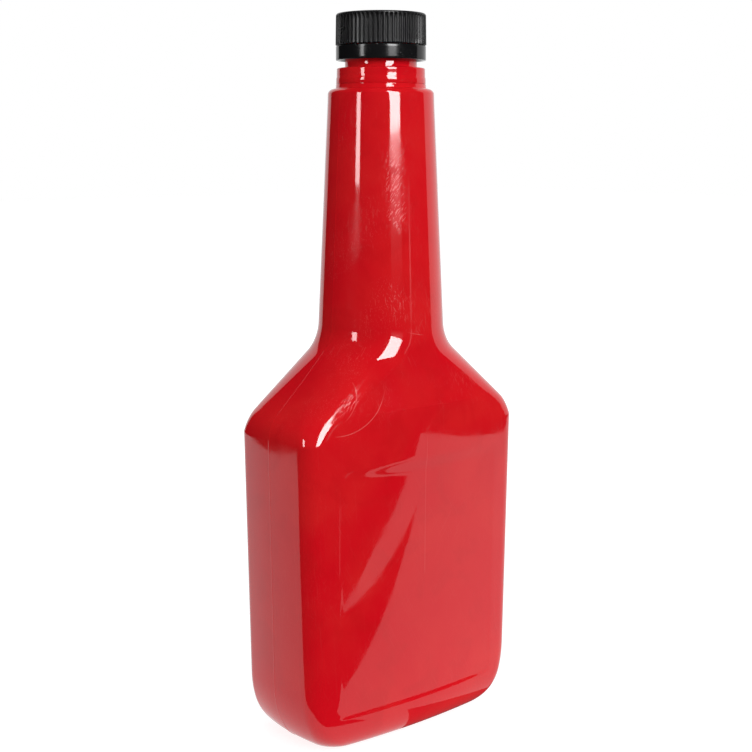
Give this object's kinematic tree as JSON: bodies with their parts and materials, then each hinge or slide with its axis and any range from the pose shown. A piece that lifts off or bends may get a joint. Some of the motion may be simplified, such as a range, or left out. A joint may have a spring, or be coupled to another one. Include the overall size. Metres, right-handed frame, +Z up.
{
  "type": "long-necked additive bottle",
  "caption": "Flat-sided moulded plastic bottle with a long tapered neck, recessed label panels, a threaded mouth, a ribbed screw cap with a foam liner and a loose tamper band.",
  "frame": {"origin": "middle of the standing face, on the bottle's upright axis", "axes": "+Z up along the neck, X along the broad faces, -Y out of the front broad face"},
  "size_m": [0.0946, 0.0466, 0.2426],
  "materials": {
    "bottle_plastic": "glossy opaque red, blow moulded",
    "cap_plastic": "satin black, injection moulded",
    "band_plastic": "satin black, injection moulded",
    "liner_foam": "matt off-white foamed polyethylene"
  },
  "bodies": {
    "bottle_body": {"bottle": "bottle_plastic"},
    "band": {"tamper_band": "band_plastic"},
    "liner": {"cap_liner": "liner_foam"},
    "cap": {"screw_cap": "cap_plastic"}
  },
  "joints": [
    {"name": "cap_lift", "type": "slide", "parent": "bottle_body", "child": "liner", "axis": [0, 0, 1], "range_m": [0, 0.0212]},
    {"name": "cap_turn", "type": "hinge", "parent": "liner", "child": "cap", "pos_m": [0, 0, 0.2406], "axis": [0, 0, 1], "range_deg": [0, 1800]},
    {"name": "band_spin", "type": "hinge", "parent": "bottle_body", "child": "band", "pos_m": [0, 0, 0.23], "axis": [0, 0, 1], "continuous": true}
  ],
  "couplings": [
    {"joint": "cap_lift", "follows": "cap_turn", "m_per_rad": 0.0006737}
  ]
}
